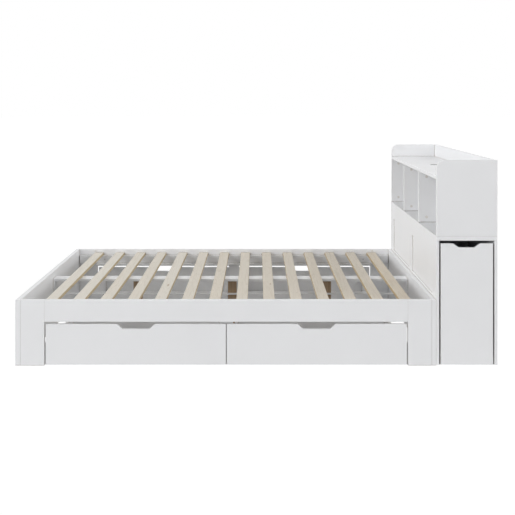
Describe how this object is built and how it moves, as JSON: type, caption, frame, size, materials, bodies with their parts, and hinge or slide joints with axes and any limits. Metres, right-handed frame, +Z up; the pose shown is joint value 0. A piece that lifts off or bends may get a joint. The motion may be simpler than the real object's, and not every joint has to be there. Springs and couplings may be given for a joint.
{
  "type": "platform bed",
  "caption": "White platform bed with a slatted base, rolling drawers along both sides, and a storage headboard with an open hutch and pull-out end cupboards.",
  "frame": {"origin": "on the floor, under the middle of the overall box", "axes": "+X towards the headboard, +Y towards the bed's left side, +Z up"},
  "size_m": [2.413, 1.6, 1.028],
  "materials": {
    "white_paint": "satin white paint",
    "slat_timber": "planed pale timber",
    "raw_timber": "raw timber",
    "zinc_steel": "zinc plated",
    "grey_plastic": "moulded",
    "black_plastic": "moulded"
  },
  "bodies": {
    "frame": {"footboard": "white_paint", "head_end_board": "white_paint", "side_rails": "white_paint", "corner_legs": "white_paint", "mid_legs": "white_paint", "slat_ledgers": "white_paint", "rail_guide_strips": "white_paint", "centre_beam": "white_paint", "centre_legs": "raw_timber", "beam_end_cleats": "white_paint", "leg_stretcher": "white_paint", "slats": "slat_timber", "slat_screws": "zinc_steel", "headboard_front_frame": "white_paint", "headboard_inset_panels": "white_paint", "headboard_top": "white_paint", "headboard_back": "white_paint", "bay_partitions": "white_paint", "cabinet_glides": "grey_plastic", "hutch_sides": "white_paint", "hutch_dividers": "white_paint", "hutch_shelf": "white_paint", "hutch_back": "white_paint", "cam_covers": "grey_plastic", "power_outlet": "black_plastic"},
    "drawer_right_foot": {"drawer_right_foot_front": "white_paint", "drawer_right_foot_box": "white_paint", "drawer_right_foot_bottom": "white_paint", "drawer_right_foot_casters": "zinc_steel"},
    "drawer_right_foot_rollers_outer": {"drawer_right_foot_wheels_outer": "grey_plastic"},
    "drawer_right_foot_rollers_inner": {"drawer_right_foot_wheels_inner": "grey_plastic"},
    "drawer_right_head": {"drawer_right_head_front": "white_paint", "drawer_right_head_box": "white_paint", "drawer_right_head_bottom": "white_paint", "drawer_right_head_casters": "zinc_steel"},
    "drawer_right_head_rollers_outer": {"drawer_right_head_wheels_outer": "grey_plastic"},
    "drawer_right_head_rollers_inner": {"drawer_right_head_wheels_inner": "grey_plastic"},
    "pullout_right": {"pullout_right_front": "white_paint", "pullout_right_rack": "white_paint", "pullout_right_casters": "zinc_steel"},
    "pullout_right_rollers_outer": {"pullout_right_wheels_outer": "grey_plastic"},
    "pullout_right_rollers_inner": {"pullout_right_wheels_inner": "grey_plastic"},
    "drawer_left_foot": {"drawer_left_foot_front": "white_paint", "drawer_left_foot_box": "white_paint", "drawer_left_foot_bottom": "white_paint", "drawer_left_foot_casters": "zinc_steel"},
    "drawer_left_foot_rollers_outer": {"drawer_left_foot_wheels_outer": "grey_plastic"},
    "drawer_left_foot_rollers_inner": {"drawer_left_foot_wheels_inner": "grey_plastic"},
    "drawer_left_head": {"drawer_left_head_front": "white_paint", "drawer_left_head_box": "white_paint", "drawer_left_head_bottom": "white_paint", "drawer_left_head_casters": "zinc_steel"},
    "drawer_left_head_rollers_outer": {"drawer_left_head_wheels_outer": "grey_plastic"},
    "drawer_left_head_rollers_inner": {"drawer_left_head_wheels_inner": "grey_plastic"},
    "pullout_left": {"pullout_left_front": "white_paint", "pullout_left_rack": "white_paint", "pullout_left_casters": "zinc_steel"},
    "pullout_left_rollers_outer": {"pullout_left_wheels_outer": "grey_plastic"},
    "pullout_left_rollers_inner": {"pullout_left_wheels_inner": "grey_plastic"}
  },
  "joints": [
    {"name": "drawer_right_foot_slide", "type": "slide", "parent": "frame", "child": "drawer_right_foot", "axis": [0, -1, 0], "range_m": [0, 0.45]},
    {"name": "drawer_right_foot_rollers_outer_spin", "type": "hinge", "parent": "drawer_right_foot", "child": "drawer_right_foot_rollers_outer", "pos_m": [0, -0.725, 0.0145], "axis": [1, 0, 0], "continuous": true},
    {"name": "drawer_right_foot_rollers_inner_spin", "type": "hinge", "parent": "drawer_right_foot", "child": "drawer_right_foot_rollers_inner", "pos_m": [0, -0.38, 0.0145], "axis": [1, 0, 0], "continuous": true},
    {"name": "drawer_right_head_slide", "type": "slide", "parent": "frame", "child": "drawer_right_head", "axis": [0, -1, 0], "range_m": [0, 0.45]},
    {"name": "drawer_right_head_rollers_outer_spin", "type": "hinge", "parent": "drawer_right_head", "child": "drawer_right_head_rollers_outer", "pos_m": [0, -0.725, 0.0145], "axis": [1, 0, 0], "continuous": true},
    {"name": "drawer_right_head_rollers_inner_spin", "type": "hinge", "parent": "drawer_right_head", "child": "drawer_right_head_rollers_inner", "pos_m": [0, -0.38, 0.0145], "axis": [1, 0, 0], "continuous": true},
    {"name": "pullout_right_slide", "type": "slide", "parent": "frame", "child": "pullout_right", "axis": [0, -1, 0], "range_m": [0, 0.5]},
    {"name": "pullout_right_rollers_outer_spin", "type": "hinge", "parent": "pullout_right", "child": "pullout_right_rollers_outer", "pos_m": [0, -0.745, 0.0145], "axis": [1, 0, 0], "continuous": true},
    {"name": "pullout_right_rollers_inner_spin", "type": "hinge", "parent": "pullout_right", "child": "pullout_right_rollers_inner", "pos_m": [0, -0.265, 0.0145], "axis": [1, 0, 0], "continuous": true},
    {"name": "drawer_left_foot_slide", "type": "slide", "parent": "frame", "child": "drawer_left_foot", "axis": [0, 1, 0], "range_m": [0, 0.45]},
    {"name": "drawer_left_foot_rollers_outer_spin", "type": "hinge", "parent": "drawer_left_foot", "child": "drawer_left_foot_rollers_outer", "pos_m": [0, 0.725, 0.0145], "axis": [1, 0, 0], "continuous": true},
    {"name": "drawer_left_foot_rollers_inner_spin", "type": "hinge", "parent": "drawer_left_foot", "child": "drawer_left_foot_rollers_inner", "pos_m": [0, 0.38, 0.0145], "axis": [1, 0, 0], "continuous": true},
    {"name": "drawer_left_head_slide", "type": "slide", "parent": "frame", "child": "drawer_left_head", "axis": [0, 1, 0], "range_m": [0, 0.45]},
    {"name": "drawer_left_head_rollers_outer_spin", "type": "hinge", "parent": "drawer_left_head", "child": "drawer_left_head_rollers_outer", "pos_m": [0, 0.725, 0.0145], "axis": [1, 0, 0], "continuous": true},
    {"name": "drawer_left_head_rollers_inner_spin", "type": "hinge", "parent": "drawer_left_head", "child": "drawer_left_head_rollers_inner", "pos_m": [0, 0.38, 0.0145], "axis": [1, 0, 0], "continuous": true},
    {"name": "pullout_left_slide", "type": "slide", "parent": "frame", "child": "pullout_left", "axis": [0, 1, 0], "range_m": [0, 0.5]},
    {"name": "pullout_left_rollers_outer_spin", "type": "hinge", "parent": "pullout_left", "child": "pullout_left_rollers_outer", "pos_m": [0, 0.745, 0.0145], "axis": [1, 0, 0], "continuous": true},
    {"name": "pullout_left_rollers_inner_spin", "type": "hinge", "parent": "pullout_left", "child": "pullout_left_rollers_inner", "pos_m": [0, 0.265, 0.0145], "axis": [1, 0, 0], "continuous": true}
  ],
  "couplings": [
    {"joint": "drawer_right_foot_rollers_outer_spin", "follows": "drawer_right_foot_slide", "rad_per_m": 68.966},
    {"joint": "drawer_right_foot_rollers_inner_spin", "follows": "drawer_right_foot_slide", "rad_per_m": 68.966},
    {"joint": "drawer_right_head_rollers_outer_spin", "follows": "drawer_right_head_slide", "rad_per_m": 68.966},
    {"joint": "drawer_right_head_rollers_inner_spin", "follows": "drawer_right_head_slide", "rad_per_m": 68.966},
    {"joint": "pullout_right_rollers_outer_spin", "follows": "pullout_right_slide", "rad_per_m": 68.966},
    {"joint": "pullout_right_rollers_inner_spin", "follows": "pullout_right_slide", "rad_per_m": 68.966},
    {"joint": "drawer_left_foot_rollers_outer_spin", "follows": "drawer_left_foot_slide", "rad_per_m": -68.966},
    {"joint": "drawer_left_foot_rollers_inner_spin", "follows": "drawer_left_foot_slide", "rad_per_m": -68.966},
    {"joint": "drawer_left_head_rollers_outer_spin", "follows": "drawer_left_head_slide", "rad_per_m": -68.966},
    {"joint": "drawer_left_head_rollers_inner_spin", "follows": "drawer_left_head_slide", "rad_per_m": -68.966},
    {"joint": "pullout_left_rollers_outer_spin", "follows": "pullout_left_slide", "rad_per_m": -68.966},
    {"joint": "pullout_left_rollers_inner_spin", "follows": "pullout_left_slide", "rad_per_m": -68.966}
  ]
}
